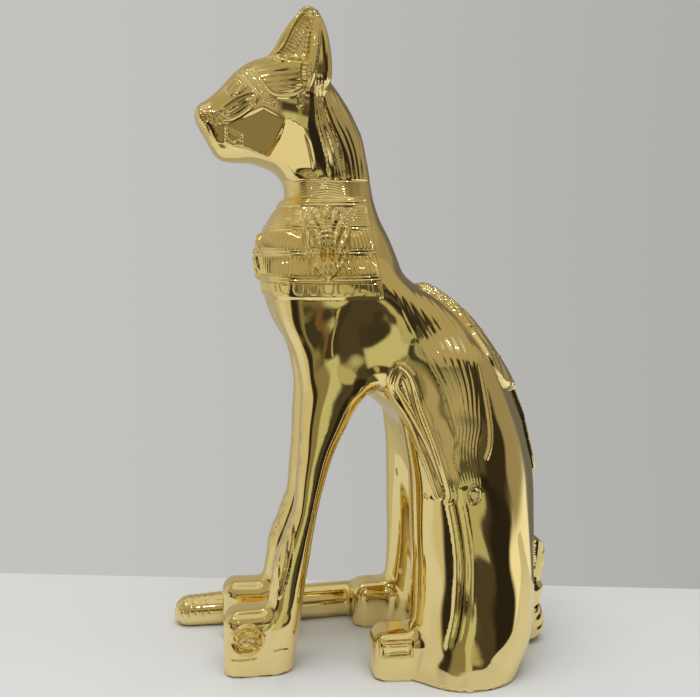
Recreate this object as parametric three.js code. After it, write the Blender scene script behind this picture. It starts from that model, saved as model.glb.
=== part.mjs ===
// A seated cat goddess figure, cast in one piece and gilded all over.
// Millimetres, +Z up, the cat looks along -Y, its left side is +X, and it stands on z = 0.
import * as THREE from 'three';

// Driving sizes
const height = 270; // ground to the tips of the ears
const haunchWidth = 107; // over both haunches, at the ground
const forelegSpacing = 34; // between the middles of the forelegs
const pawWidth = 18.8;
const pawLength = 29.4;
const pawHeight = 27.2;
const hindFootSpacing = 58; // between the middles of the hind feet
const hindFootWidth = 20;
const hindFootLength = 35.5;
const hindFootHeight = 20;
const tailThickness = 16.6; // across it, where it lies beside the forepaws
const earWall = 2.2; // metal left round the hollow of an ear
const collarDepth = 0.7; // the broad collar stands proud of the chest
const collarBandDepth = 0.9; // each raised band stands proud of the collar
const medallionWidth = 15;
const medallionHeight = 19;
const medallionDepth = 2.3;
const sideOrnamentWidth = 19;
const sideOrnamentHeight = 25;
const sideOrnamentDepth = 2.4;
const backWingWidth = 50; // the winged relief over the back
const backWingDepth = 3.2;
const spineBandWidth = 11;
const spineBandDepth = 3;
const rumpPlateWidth = 17; // the looped plate at the root of the tail
const rumpPlateHeight = 43;
const rumpPlateDepth = 7.3;
const fluteDepth = 0.8; // the flowing folds behind the ears
const eyeLength = 21;
const eyeHeight = 8;
const eyeRimDepth = 0.9;
const browBandDepth = 1.0;
const thighRidgeDepth = 1.3;
const toeRingDepth = 1.0;

// Fineness of the faceted surface
const cell = 2; // edge of a sampling cell
const faceLimit = 9800;

// The tables below hold the pose as drawn at a height of 270, and scale with the height.
const scale = height / 270;

// A smooth curve through stations [t, value, value, ...], held level past both ends.
function curve(stations) {
  const rows = stations.map((row) => row.map((v) => v * scale)).sort((p, q) => p[0] - q[0]);
  const last = rows.length - 1;
  const slope = (i, c) => {
    const a = rows[Math.max(i - 1, 0)];
    const b = rows[Math.min(i + 1, last)];
    return (b[c] - a[c]) / (b[0] - a[0]);
  };
  const slopes = rows.map((row, i) => row.map((_, c) => (c ? slope(i, c) : 0)));
  const values = new Float64Array(rows[0].length - 1);
  let held = NaN;
  return (where) => {
    if (where === held) return values;
    held = where;
    const t = Math.min(Math.max(where, rows[0][0]), rows[last][0]);
    let i = 0;
    while (i < last - 1 && t > rows[i + 1][0]) i += 1;
    const width = rows[i + 1][0] - rows[i][0];
    const u = (t - rows[i][0]) / width;
    for (let c = 1; c <= values.length; c += 1) {
      values[c - 1] =
        (2 * u ** 3 - 3 * u ** 2 + 1) * rows[i][c] +
        (u ** 3 - 2 * u ** 2 + u) * width * slopes[i][c] +
        (3 * u ** 2 - 2 * u ** 3) * rows[i + 1][c] +
        (u ** 3 - u ** 2) * width * slopes[i + 1][c];
    }
    return values;
  };
}

// Joins and cuts that leave a soft fillet of about the given reach
function blend(a, b, reach) {
  if (b - a >= reach) return a;
  if (a - b >= reach) return b;
  const h = 0.5 + (0.5 * (b - a)) / reach;
  return b + (a - b) * h - reach * h * (1 - h);
}

function keep(a, b, reach) {
  return -blend(-a, -b, reach);
}

function step(from, to, t) {
  const u = Math.min(Math.max((t - from) / (to - from), 0), 1);
  return u * u * (3 - 2 * u);
}

// How far a point (u, v) lies outside an oval with half axes a and b and a squareness of 2 or more
function oval(u, v, a, b, squareness) {
  const p = Math.abs(u / a) + 1e-6;
  const q = Math.abs(v / b) + 1e-6;
  const r = (p ** squareness + q ** squareness) ** (1 / squareness);
  const gu = (p / r) ** (squareness - 1) / a;
  const gv = (q / r) ** (squareness - 1) / b;
  return (r - 1) / Math.hypot(gu, gv);
}

// A block with rounded edges, given by its centre, half sizes and edge radius
function block(x, y, z, centre, half, radius) {
  const qx = Math.abs(x - centre[0]) - half[0] + radius;
  const qy = Math.abs(y - centre[1]) - half[1] + radius;
  const qz = Math.abs(z - centre[2]) - half[2] + radius;
  const out = Math.hypot(Math.max(qx, 0), Math.max(qy, 0), Math.max(qz, 0));
  return out + Math.min(Math.max(qx, qy, qz), 0) - radius;
}

// Trunk and neck: level, front, back, half width
const trunkTop = 236 * scale;
const trunkRound = 8 * scale;
const trunkSquareness = 2.15;
const trunkAt = curve([
  [236, -24, -6.4, 10],
  [222, -27, 2.8, 13.2],
  [212, -28.3, 6.4, 14.8],
  [203, -28.1, 8.4, 16.6],
  [196, -28.4, 9.6, 19.2],
  [188, -33.8, 12.2, 23.5],
  [180, -37.4, 16.2, 27],
  [172, -38.6, 19.5, 29.5],
  [165, -38, 22.6, 30.8],
  [160.5, -37.3, 27.8, 31.2],
  [156, -36.6, 36, 31.2],
  [146, -33, 48.4, 30.6],
  [137, -27.3, 56, 29.8],
  [129, -19.5, 61.6, 29.6],
  [122, -8, 66, 29.8],
  [116, 3, 69, 30.6],
  [110, 11, 71.4, 31.6],
  [103, 18, 74.2, 32.6],
  [94, 24, 76.4, 33.6],
  [80, 29, 79.5, 34.4],
  [60, 33, 80.3, 35],
  [40, 35, 80.6, 35],
  [27, 35.6, 80.2, 34],
  [16, 36, 77.6, 32.4],
  [8, 36, 76.2, 31],
  [0, 36, 75.4, 30],
]);

function trunk(x, y, z) {
  if (z > trunkTop + trunkRound) return Infinity;
  const at = trunkAt(z);
  const middle = (at[0] + at[1]) / 2;
  const side = oval(y - middle, x, at[1] - middle, at[2], trunkSquareness);
  return keep(side, z - trunkTop, trunkRound);
}

// Head: distance along the nose, top, bottom, half width
const noseEnd = -64.2 * scale;
const nape = 3 * scale;
const headFoot = 185 * scale; // below this the head adds nothing
const headAt = curve([
  [-65, 232, 229, 5.5],
  [-62.8, 234.4, 225, 7.4],
  [-60, 236.1, 220.3, 8.7],
  [-57.2, 238.2, 214.8, 9.9],
  [-54, 241.2, 212, 11.2],
  [-48, 247.5, 211.1, 14],
  [-42, 251.7, 210.8, 17.8],
  [-35, 254, 208.6, 20.6],
  [-27, 255, 205.4, 22.2],
  [-18, 252.5, 204, 21.8],
  [-10, 246, 204, 19],
  [-3, 236.5, 205, 13.5],
  [3, 227, 206, 8.5],
]);

function head(x, y, z) {
  if (z < headFoot) return Infinity;
  const at = headAt(y);
  const middle = (at[0] + at[1]) / 2;
  const round = oval(z - middle, x, at[0] - middle, at[2], trunkSquareness);
  const nosed = keep(round, noseEnd - y, 2.5 * scale);
  return keep(nosed, y - nape, 6 * scale);
}

// Ears: share of the way to the tip, half width, half depth, both as drawn
const earRoot = new THREE.Vector3(15.5, -23.9, 240).multiplyScalar(scale);
const earTip = new THREE.Vector3(16.3, -17.8, 270.8).multiplyScalar(scale);
const earTurn = THREE.MathUtils.degToRad(60); // the hollow looks outwards from straight ahead
const earLip = 2.6 * scale; // the rear rim is this much thicker than the front one
const earLipWidth = 13 * scale; // where the ear is narrower than this, the lip thins out
const earHeight = earTip.distanceTo(earRoot);
const earFootReach = 12 * scale;
const earUp = earTip.clone().sub(earRoot).normalize();
const earOpen = new THREE.Vector3(Math.sin(earTurn), -Math.cos(earTurn), 0)
  .projectOnPlane(earUp)
  .normalize();
const earAcross = new THREE.Vector3().crossVectors(earUp, earOpen);
const earAt = curve([
  [0, 14, 7.2],
  [0.2, 14, 7.6],
  [0.4, 12.8, 7],
  [0.6, 10.6, 5.8],
  [0.78, 7.9, 4.6],
  [0.9, 5.3, 3.3],
  [1, 2.4, 1.9],
]);

function ear(x, y, z) {
  if (z < earRoot.z - earFootReach) return Infinity;
  const px = x - earRoot.x;
  const py = y - earRoot.y;
  const pz = z - earRoot.z;
  const up = px * earUp.x + py * earUp.y + pz * earUp.z;
  const out = px * earOpen.x + py * earOpen.y + pz * earOpen.z;
  const across = px * earAcross.x + py * earAcross.y + pz * earAcross.z;
  const at = earAt((up / earHeight) * scale);
  const halfWidth = at[0];
  const halfDepth = at[1];
  const round = oval(across, out, halfWidth, halfDepth, 2);
  const shell = keep(keep(round, up - earHeight, scale), -up, 6 * scale);
  const lip = earLip * Math.min(halfWidth / earLipWidth, 1);
  const inner = Math.max(halfWidth - earWall - lip, 0.3 * scale);
  const scoop = oval(across + lip, out - halfDepth * 1.15, inner, halfDepth * 0.85, 2);
  const hollow = keep(keep(scoop, up - earHeight * 0.9, 3 * scale), earHeight * 0.3 - up, 4 * scale);
  return keep(shell, -hollow, 1.4 * scale);
}

// Forelegs: level, half width, front, back
const shoulderTop = 166 * scale;
const limbRound = 6 * scale;
const forelegX = forelegSpacing / 2;
const forelegAt = curve([
  [172, 13, -32.5, 12],
  [158, 13.6, -33, 20],
  [146, 13.1, -31, 22],
  [135, 12.4, -26.6, 20],
  [126, 11.8, -24.2, 14],
  [118, 11.4, -23.1, 6.6],
  [112, 11, -23.2, 1.2],
  [103, 10.4, -23.6, -4],
  [92, 9.7, -24.3, -9],
  [80, 9.1, -25.2, -13],
  [67, 8.8, -26.6, -16.2],
  [55, 8.7, -30.6, -18.4],
  [47, 8.8, -34, -19.6],
  [36, 8.9, -36.2, -21.5],
  [25, 9.2, -38, -23],
  [12, 9.3, -40, -25.5],
  [0, 9, -42, -31],
]);

function foreleg(x, y, z) {
  if (z > shoulderTop + limbRound) return Infinity;
  const at = forelegAt(z);
  const middle = (at[1] + at[2]) / 2;
  return keep(oval(x - forelegX, y - middle, at[0], at[2] - middle, 2.3), z - shoulderTop, limbRound);
}

// Haunches: level, middle and half width, front, crest, back; the crest is where they are widest
const haunchTop = 138 * scale;
const haunchRound = 10 * scale;
const haunchAt = curve([
  [140, 18, 13, 18, 31, 50],
  [128, 20, 14, 14.2, 34, 56],
  [118, 21.5, 15.5, 16, 36, 60],
  [108, 23, 17.4, 17.6, 37, 63],
  [97, 24.5, 19, 19.2, 38, 66],
  [85, 26, 20.4, 20.5, 38, 68],
  [72, 27, 21.2, 20.9, 40, 69.5],
  [58, 28, 21.8, 21.2, 42, 71],
  [42, 28.6, 22, 21.6, 43.5, 72.5],
  [27, 29, 22.2, 21.2, 43.5, 73],
  [14, 29.2, 22.9, 19.4, 42, 71.5],
  [5, 29.4, 23.6, 17.8, 41, 67.5],
  [0, 29.4, 24, 17.4, 40, 65.5],
]);
const drawnHaunchWidth = 107 * scale;
const haunchSpread = haunchWidth / drawnHaunchWidth;
const frontSquareness = 1.6; // the front of the haunch is cut slanting, its back is fuller
const backSquareness = 2.3;

function haunch(x, y, z) {
  if (z > haunchTop + haunchRound) return Infinity;
  const at = haunchAt(z);
  const [middle, half, front, crest, back] = at;
  const deep = y < crest ? crest - front : back - crest;
  const squareness = y < crest ? frontSquareness : backSquareness;
  const round = oval(x - middle * haunchSpread, y - crest, half * haunchSpread, deep, squareness);
  return keep(round, z - haunchTop, haunchRound);
}

// Paws and hind feet are rounded blocks whose lower part is cut off by the ground.
const pawFront = -55.8 * scale;
const pawSplay = 0.09; // the paws turn out a little
const hindFootFront = 4.7 * scale;
const footSink = 16 * scale; // keeps the rounded lower edges under the ground
const footReach = Math.max(pawHeight, hindFootHeight) + 8 * scale;
const pawHalf = [pawWidth / 2, pawLength / 2, (pawHeight + footSink) / 2];
const pawCentre = [forelegX, pawFront + pawLength / 2, (pawHeight - footSink) / 2];
const footHalf = [hindFootWidth / 2, hindFootLength / 2, (hindFootHeight + footSink) / 2];
const footCentre = [
  hindFootSpacing / 2,
  hindFootFront + hindFootLength / 2,
  (hindFootHeight - footSink) / 2,
];

// Tail: its centreline on the ground plan, its level and its half thickness, from root to tip
const tailPath = curve([
  [0, 0, 71, 8, 10],
  [1, -18, 70.5, 7.4, 9],
  [2, -32, 64, 6.8, 8.4],
  [3, -41, 51, 6.4, 8.2],
  [4, -43.5, 33, 6.2, 8.2],
  [5, -42, 10, 6.3, 8.4],
  [6, -40, -10, 6.3, 8.5],
  [7, -38.6, -32, 6.2, 8.3],
  [8, -37.8, -52, 6, 8],
  [9, -37, -70.6, 5.8, 7.4],
]);
const tailStretches = 30;
const drawnTailThickness = 16.6 * scale;
const tailFullness = tailThickness / drawnTailThickness;
const tailPoints = Array.from({ length: tailStretches + 1 }, (_, i) => {
  const [x, y, level, half] = tailPath(((i * 9) / tailStretches) * scale);
  return { x, y, level, half: half * tailFullness };
});
const tailReach = 24 * scale; // above this the tail adds nothing

function tail(x, y, z) {
  if (z > tailReach) return Infinity;
  let nearest = Infinity;
  for (let i = 0; i < tailStretches; i += 1) {
    const a = tailPoints[i];
    const b = tailPoints[i + 1];
    const ex = b.x - a.x;
    const ey = b.y - a.y;
    const along = ((x - a.x) * ex + (y - a.y) * ey) / (ex * ex + ey * ey);
    const t = Math.min(Math.max(along, 0), 1);
    const level = a.level + (b.level - a.level) * t;
    const half = a.half + (b.half - a.half) * t;
    nearest = Math.min(nearest, Math.hypot(x - a.x - ex * t, y - a.y - ey * t, z - level) - half);
  }
  return nearest;
}

// The whole figure without its carving: negative inside, positive outside
function figure(x, y, z) {
  const side = Math.abs(x);
  let d = blend(trunk(x, y, z), head(x, y, z), 7 * scale);
  d = blend(d, haunch(side, y, z), 8 * scale);
  d = blend(d, foreleg(side, y, z), 7 * scale);
  if (z < footReach) {
    d = blend(d, block(side, y, z, footCentre, footHalf, 6 * scale), 4 * scale);
    const splay = pawSplay * (y - pawCentre[1]);
    d = blend(d, block(side + splay, y, z, pawCentre, pawHalf, 6.5 * scale), 4 * scale);
  }
  d = blend(d, ear(side, y, z), 5 * scale);
  d = blend(d, tail(x, y, z), 3 * scale);
  return keep(d, -z, 0.6 * scale);
}

// The slope of the figure's field at a point where its value is known, written into a vector
const probe = 0.01 * scale;

function slopeAt(p, value, into) {
  into.set(figure(p.x + probe, p.y, p.z), figure(p.x, p.y + probe, p.z), figure(p.x, p.y, p.z + probe));
  return into.addScalar(-value).divideScalar(probe);
}

// A pad with a soft edge: 1 inside an oval outline, 0 outside it
function pad(u, v, halfWidth, halfHeight, edge) {
  return 1 - step(-edge, edge, oval(u, v, halfWidth, halfHeight, 2));
}

// A rounded ridge along a line that lies at offset 0
function ridge(offset, halfWidth) {
  return 1 - step(0, halfWidth, Math.abs(offset));
}

// Broad collar: bands at these levels, ending behind at the strap
const collarTop = 196 * scale;
const collarFoot = 159 * scale;
const collarBands = [192, 175.5, 170, 162.5].map((level) => level * scale);
const collarBandHalf = 1.9 * scale;
const strapAt = curve([
  [157, 9.5],
  [190, 5.5],
]);

function collar(y, z) {
  const strap = strapAt(z)[0];
  const cover = step(collarFoot - scale, collarFoot + scale, z);
  const worn = cover * (1 - step(collarTop - scale, collarTop + scale, z)) * step(0, 1.5 * scale, strap - y);
  const bands = collarBands.reduce((most, level) => Math.max(most, ridge(z - level, collarBandHalf)), 0);
  const edge = ridge(strap - 2 * scale - y, 2 * scale);
  return worn * (collarDepth + collarBandDepth * Math.max(bands, edge));
}

// Chest medallion and the oval ornaments at the sides of the collar
const medallionLevel = 172.5 * scale;
const ornamentLevel = 177.5 * scale;
const ornamentMiddle = -13.7 * scale;

function medallion(x, y, z) {
  if (y > 0) return 0;
  return medallionDepth * pad(x, z - medallionLevel, medallionWidth / 2, medallionHeight / 2, 1.4 * scale);
}

function sideOrnament(side, y, z) {
  if (side < 10 * scale) return 0;
  const u = y - ornamentMiddle;
  const v = z - ornamentLevel;
  return sideOrnamentDepth * pad(u, v, sideOrnamentWidth / 2, sideOrnamentHeight / 2, 1.2 * scale);
}

// Reliefs down the back: a winged crest between the shoulders, a band along the spine, a plate at
// the rump. The crest is given by its level and the share of its half width there.
const wingTop = 161 * scale;
const crestAt = curve([
  [112, 0],
  [117, 0.62],
  [124, 0.96],
  [131, 1],
  [136, 0.8],
  [141, 0.64],
  [149, 0.5],
  [156, 0.36],
  [161, 0.26],
]);
const crestFoot = 112.5 * scale;
const crestRise = 3 * scale;
const bandTop = 114 * scale;
const bandFoot = 76 * scale;
const plateFoot = 4 * scale;
const reliefEdge = 3 * scale;

function backRelief(x, y, z) {
  const at = trunkAt(z);
  if (y < (at[0] + at[1]) / 2 || z > wingTop) return 0;
  const side = Math.abs(x);
  const crestHalf = (crestAt(z)[0] / scale) * (backWingWidth / 2);
  const crestEnds = step(crestFoot, crestFoot + crestRise, z) * (1 - step(wingTop - crestRise, wingTop, z));
  const thin = 1 - 0.6 * step(0.4, 1, side / Math.max(crestHalf, reliefEdge));
  const crest = backWingDepth * thin * step(0, reliefEdge, crestHalf - side) * crestEnds;
  const bandEnds = step(bandFoot, bandFoot + reliefEdge, z) * (1 - step(bandTop, bandTop + reliefEdge, z));
  const band = spineBandDepth * step(0, 2 * scale, spineBandWidth / 2 - side) * bandEnds;
  const plateTop = plateFoot + rumpPlateHeight;
  const narrow = 1 - 0.26 * step(0.47, 0.6, (z - plateFoot) / rumpPlateHeight);
  const plateRises = step(plateFoot, plateFoot + reliefEdge, z);
  const plateEnds = plateRises * (1 - step(plateTop - reliefEdge, plateTop, z));
  const plate = rumpPlateDepth * step(0, 2.5 * scale, (rumpPlateWidth / 2) * narrow - side) * plateEnds;
  return Math.max(crest, band, plate);
}

// Folds that run from the ears down the sides of the neck
const fluteCount = 5;
const fluteFoot = 198 * scale;
const fluteTop = 238 * scale;

function flutes(y, z) {
  const worn = step(fluteFoot, fluteFoot + 6 * scale, z) * (1 - step(fluteTop - 8 * scale, fluteTop, z));
  const front = -20 * scale + (z - fluteFoot) * 0.15;
  const share = (y - front) / (24 * scale);
  const within = step(0, 0.12, share) * (1 - step(0.88, 1, share));
  return -fluteDepth * worn * within * (0.5 - 0.5 * Math.cos(2 * Math.PI * fluteCount * share));
}

// Almond eyes with a raised rim, and the bands of the brow
const eyeY = -47.3 * scale;
const eyeZ = 230.4 * scale;
const eyeTilt = THREE.MathUtils.degToRad(29);
const browTilt = THREE.MathUtils.degToRad(-42);
const browY = -39.5 * scale;
const browZ = 243 * scale;

function face(side, y, z) {
  if (side < 6 * scale || y > -20 * scale || z < 205 * scale) return 0;
  const ey = (y - eyeY) * Math.cos(eyeTilt) + (z - eyeZ) * Math.sin(eyeTilt);
  const ez = (z - eyeZ) * Math.cos(eyeTilt) - (y - eyeY) * Math.sin(eyeTilt);
  const almond = oval(ey, ez, eyeLength / 2, eyeHeight / 2, 1.5);
  const eye = eyeRimDepth * (ridge(almond, 1.6 * scale) - 1.2 * step(0.4 * scale, 2 * scale, -almond));
  const along = (y - browY) * Math.cos(browTilt) + (z - browZ) * Math.sin(browTilt);
  const across = (z - browZ) * Math.cos(browTilt) - (y - browY) * Math.sin(browTilt);
  const ends = 1 - step(9 * scale, 12 * scale, Math.abs(along));
  const bands = Math.max(ridge(across - 2.2 * scale, 2 * scale), ridge(across + 2.2 * scale, 2 * scale));
  return eye + browBandDepth * bands * ends;
}

// The hollow behind the shoulder: its middle, its reach along and up the body, its depth
const hollowY = 4 * scale;
const hollowZ = 138 * scale;
const hollowLength = 17 * scale;
const hollowHeight = 24 * scale;
const hollowDepth = 2.4 * scale;

function shoulderHollow(side, y, z) {
  if (side < 14 * scale) return 0;
  const off = ((y - hollowY) / hollowLength) ** 2 + ((z - hollowZ) / hollowHeight) ** 2;
  return -hollowDepth * Math.max(1 - off, 0) ** 2;
}

// The ridge down the front of each haunch
const ridgeAt = curve([
  [20, 33],
  [28, 33],
  [52, 36],
  [76, 37.4],
  [100, 31],
  [128, 16],
]);

function thighRidge(side, y, z) {
  if (side < 20 * scale || z > 135 * scale) return 0;
  const ends = step(24 * scale, 40 * scale, z) * (1 - step(118 * scale, 130 * scale, z));
  return thighRidgeDepth * ends * ridge(y - ridgeAt(z)[0], 3 * scale);
}

// The curled toe on the outside of each forepaw
function toe(side, y, z) {
  if (side < forelegX) return 0;
  const off = oval(y + 45.5 * scale, z - 12.5 * scale, 7.2 * scale, 6.2 * scale, 2);
  return toeRingDepth * ridge(off, 2 * scale) * (1 - step(24 * scale, 28 * scale, z));
}

function carving(p) {
  const side = Math.abs(p.x);
  const deep = Math.max(medallion(p.x, p.y, p.z), sideOrnament(side, p.y, p.z));
  const neck = p.y < 12 * scale && p.z > 150 * scale ? collar(p.y, p.z) + flutes(p.y, p.z) : 0;
  return (
    Math.max(deep, neck) +
    Math.min(neck, 0) +
    backRelief(p.x, p.y, p.z) +
    face(side, p.y, p.z) +
    thighRidge(side, p.y, p.z) +
    shoulderHollow(side, p.y, p.z) +
    toe(side, p.y, p.z)
  );
}

// Six tetrahedra fill a cell, each along the long diagonal from corner 0 to corner 7.
const tetrahedra = [
  [0, 1, 3, 7],
  [0, 3, 2, 7],
  [0, 2, 6, 7],
  [0, 6, 4, 7],
  [0, 4, 5, 7],
  [0, 5, 1, 7],
];

// Closed triangle mesh of the surface where the figure's field is 0
function polygonise() {
  const low = [-64 * scale, -86 * scale, -1.7 * cell];
  const high = [64 * scale, 92 * scale, earTip.z + 2 * cell];
  const count = low.map((v, axis) => Math.ceil((high[axis] - v) / cell) + 1);
  const [nx, ny, nz] = count;
  const field = new Float64Array(nx * ny * nz);
  for (let k = 0, n = 0; k < nz; k += 1) {
    for (let j = 0; j < ny; j += 1) {
      for (let i = 0; i < nx; i += 1, n += 1) {
        field[n] = figure(low[0] + i * cell, low[1] + j * cell, low[2] + k * cell) || 1e-9;
      }
    }
  }
  const points = [];
  const faces = [];
  const known = new Map();
  const place = (n) => {
    const i = n % nx;
    const j = Math.floor(n / nx) % ny;
    const k = Math.floor(n / (nx * ny));
    return new THREE.Vector3(low[0] + i * cell, low[1] + j * cell, low[2] + k * cell);
  };
  const crossing = (a, b) => {
    const key = Math.min(a, b) * field.length + Math.max(a, b);
    if (!known.has(key)) {
      const t = field[a] / (field[a] - field[b]);
      known.set(key, points.length);
      points.push(place(a).lerp(place(b), Math.min(Math.max(t, 0.02), 0.98)));
    }
    return known.get(key);
  };
  const addFace = (a, b, c, inside) => {
    const ab = points[b].clone().sub(points[a]);
    const ac = points[c].clone().sub(points[a]);
    const outwards = ab.cross(ac).dot(points[a].clone().sub(inside)) > 0;
    faces.push(outwards ? [a, b, c] : [a, c, b]);
  };
  for (let k = 0; k < nz - 1; k += 1) {
    for (let j = 0; j < ny - 1; j += 1) {
      for (let i = 0; i < nx - 1; i += 1) {
        const first = i + nx * (j + ny * k);
        const corner = (c) => first + (c & 1) + nx * ((c >> 1) & 1) + nx * ny * (c >> 2);
        let solid = 0;
        for (let c = 0; c < 8; c += 1) solid += field[corner(c)] < 0 ? 1 : 0;
        if (solid === 0 || solid === 8) continue;
        for (const tetrahedron of tetrahedra) {
          const ends = tetrahedron.map(corner);
          const inner = ends.filter((n) => field[n] < 0);
          const outer = ends.filter((n) => field[n] >= 0);
          if (!inner.length || !outer.length) continue;
          const inside = place(inner[0]);
          if (inner.length === 1) addFace(...outer.map((n) => crossing(inner[0], n)), inside);
          if (outer.length === 1) addFace(...inner.map((n) => crossing(n, outer[0])), inside);
          if (inner.length === 2) {
            const [a, b] = outer.map((n) => crossing(inner[0], n));
            const [c, d] = outer.map((n) => crossing(inner[1], n));
            addFace(a, b, d, inside);
            addFace(a, d, c, inside);
          }
        }
      }
    }
  }
  return { points, faces };
}

// Draws every point onto the surface, then raises or sinks it by the carving.
function carve(points) {
  const slope = new THREE.Vector3();
  const farthest = 1.2 * cell;
  for (const p of points) {
    for (let pass = 0; pass < 2; pass += 1) {
      const value = figure(p.x, p.y, p.z);
      slopeAt(p, value, slope);
      const shift = value / Math.max(slope.lengthSq(), 1e-6);
      p.addScaledVector(slope, -Math.min(Math.max(shift, -farthest), farthest));
    }
    slopeAt(p, figure(p.x, p.y, p.z), slope).normalize();
    p.addScaledVector(slope, carving(p) * step(0.5 * scale, 2 * scale, p.z));
    if (p.z < 0.02 * scale) p.z = 0;
  }
}

// Merges the edges that cost the least shape, until the faces are within the limit.
function simplify({ points, faces }, limit) {
  const around = points.map(() => new Set());
  faces.forEach((face, f) => face.forEach((v) => around[v].add(f)));
  const quadric = points.map(() => new Float64Array(10));
  const edge1 = new THREE.Vector3();
  const edge2 = new THREE.Vector3();
  const normalOf = (a, b, c) => edge1.subVectors(b, a).cross(edge2.subVectors(c, a));
  for (const face of faces) {
    const n = normalOf(...face.map((v) => points[v]));
    const area = n.length() / 2;
    if (area < 1e-9) continue;
    n.normalize();
    const plane = [n.x, n.y, n.z, -n.dot(points[face[0]])];
    for (const v of face) {
      let slot = 0;
      for (let r = 0; r < 4; r += 1) {
        for (let c = r; c < 4; c += 1, slot += 1) quadric[v][slot] += area * plane[r] * plane[c];
      }
    }
  }
  const error = (q, p) =>
    q[0] * p.x * p.x + 2 * q[1] * p.x * p.y + 2 * q[2] * p.x * p.z + 2 * q[3] * p.x +
    q[4] * p.y * p.y + 2 * q[5] * p.y * p.z + 2 * q[6] * p.y +
    q[7] * p.z * p.z + 2 * q[8] * p.z + q[9];

  const shortEdgeWeight = 2e-4;
  const sum = new Float64Array(10);
  const bestMerge = (a, b) => {
    for (let s = 0; s < 10; s += 1) sum[s] = quadric[a][s] + quadric[b][s];
    const spare = shortEdgeWeight * points[a].distanceToSquared(points[b]);
    const choices = [points[a], points[b], points[a].clone().lerp(points[b], 0.5)];
    const costs = choices.map((p) => Math.max(error(sum, p), 0) + spare);
    const cost = Math.min(...costs);
    return { cost, spot: choices[costs.indexOf(cost)].clone() };
  };

  // A binary heap of possible merges, the cheapest on top
  const heap = [];
  const stamp = new Uint32Array(points.length);
  const push = (a, b) => {
    const entry = { a, b, sa: stamp[a], sb: stamp[b], ...bestMerge(a, b) };
    let i = heap.push(entry) - 1;
    while (i > 0) {
      const up = (i - 1) >> 1;
      if (heap[up].cost <= entry.cost) break;
      heap[i] = heap[up];
      i = up;
    }
    heap[i] = entry;
  };
  const pop = () => {
    const top = heap[0];
    const entry = heap.pop();
    if (!heap.length) return top;
    let i = 0;
    for (let child = 1; child < heap.length; child = 2 * i + 1) {
      if (child + 1 < heap.length && heap[child + 1].cost < heap[child].cost) child += 1;
      if (heap[child].cost >= entry.cost) break;
      heap[i] = heap[child];
      i = child;
    }
    heap[i] = entry;
    return top;
  };
  const neighbours = (v) => {
    const found = new Set();
    for (const f of around[v]) faces[f].forEach((w) => found.add(w));
    found.delete(v);
    return found;
  };

  // A merge may not pinch the surface, nor turn a face over or into a sliver.
  const facingLimit = 0.25;
  const flawless = (v, other, spot) => {
    for (const f of around[v]) {
      const face = faces[f];
      if (face.includes(other)) continue;
      const before = normalOf(...face.map((w) => points[w])).clone();
      const after = normalOf(...face.map((w) => (w === v ? spot : points[w])));
      const size = after.length();
      if (size < 1e-3 * scale * scale) return false;
      if (before.dot(after) < facingLimit * before.length() * size) return false;
    }
    return true;
  };
  const allowed = ({ a, b, spot }) => {
    const nextToA = neighbours(a);
    const shared = [...neighbours(b)].filter((v) => nextToA.has(v));
    return shared.length === 2 && flawless(a, b, spot) && flawless(b, a, spot);
  };

  for (const [v] of points.entries()) {
    for (const w of neighbours(v)) if (v < w) push(v, w);
  }
  let left = faces.length;
  while (left > limit && heap.length) {
    const merge = pop();
    const { a, b, sa, sb, spot } = merge;
    if (stamp[a] !== sa || stamp[b] !== sb || !around[a].size || !around[b].size) continue;
    if (!allowed(merge)) continue;
    for (const f of around[b]) {
      if (faces[f].includes(a)) {
        faces[f].forEach((v) => v !== b && around[v].delete(f));
        left -= 1;
      } else {
        faces[f] = faces[f].map((v) => (v === b ? a : v));
        around[a].add(f);
      }
    }
    around[b].clear();
    points[a].copy(spot);
    for (let s = 0; s < 10; s += 1) quadric[a][s] += quadric[b][s];
    stamp[a] += 1;
    stamp[b] += 1;
    for (const v of neighbours(a)) push(a, v);
  }

  const used = new Map();
  const kept = [];
  const number = (v) => {
    if (!used.has(v)) {
      used.set(v, kept.length);
      kept.push(points[v]);
    }
    return used.get(v);
  };
  const whole = faces.filter((face, f) => around[face[0]].has(f)).map((face) => face.map(number));
  return { points: kept, faces: whole };
}

// The casting: sampled, carved, thinned out and set with its origin under the middle of its base
const surface = polygonise();
carve(surface.points);
const { points, faces } = simplify(surface, faceLimit);

const box = new THREE.Box3().setFromPoints(points);
const centre = box.getCenter(new THREE.Vector3());
const geometry = new THREE.BufferGeometry().setFromPoints(points);
geometry.setIndex(faces.flat());
geometry.translate(-centre.x, -centre.y, -box.min.z);
geometry.computeVertexNormals();

const gilding = new THREE.MeshStandardMaterial({ color: 0xd9a441, metalness: 1, roughness: 0.12 });
const cat = new THREE.Mesh(geometry, gilding);
cat.name = 'bastet_cat';

const group = new THREE.Group();
group.add(cat);
export default group;
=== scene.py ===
# A seated cat goddess figure: one casting, gilded all over and polished like a mirror.
# Metres, in the frame of the CAD part. The carving is drawn in millimetres and set in place at the end.
import math

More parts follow.
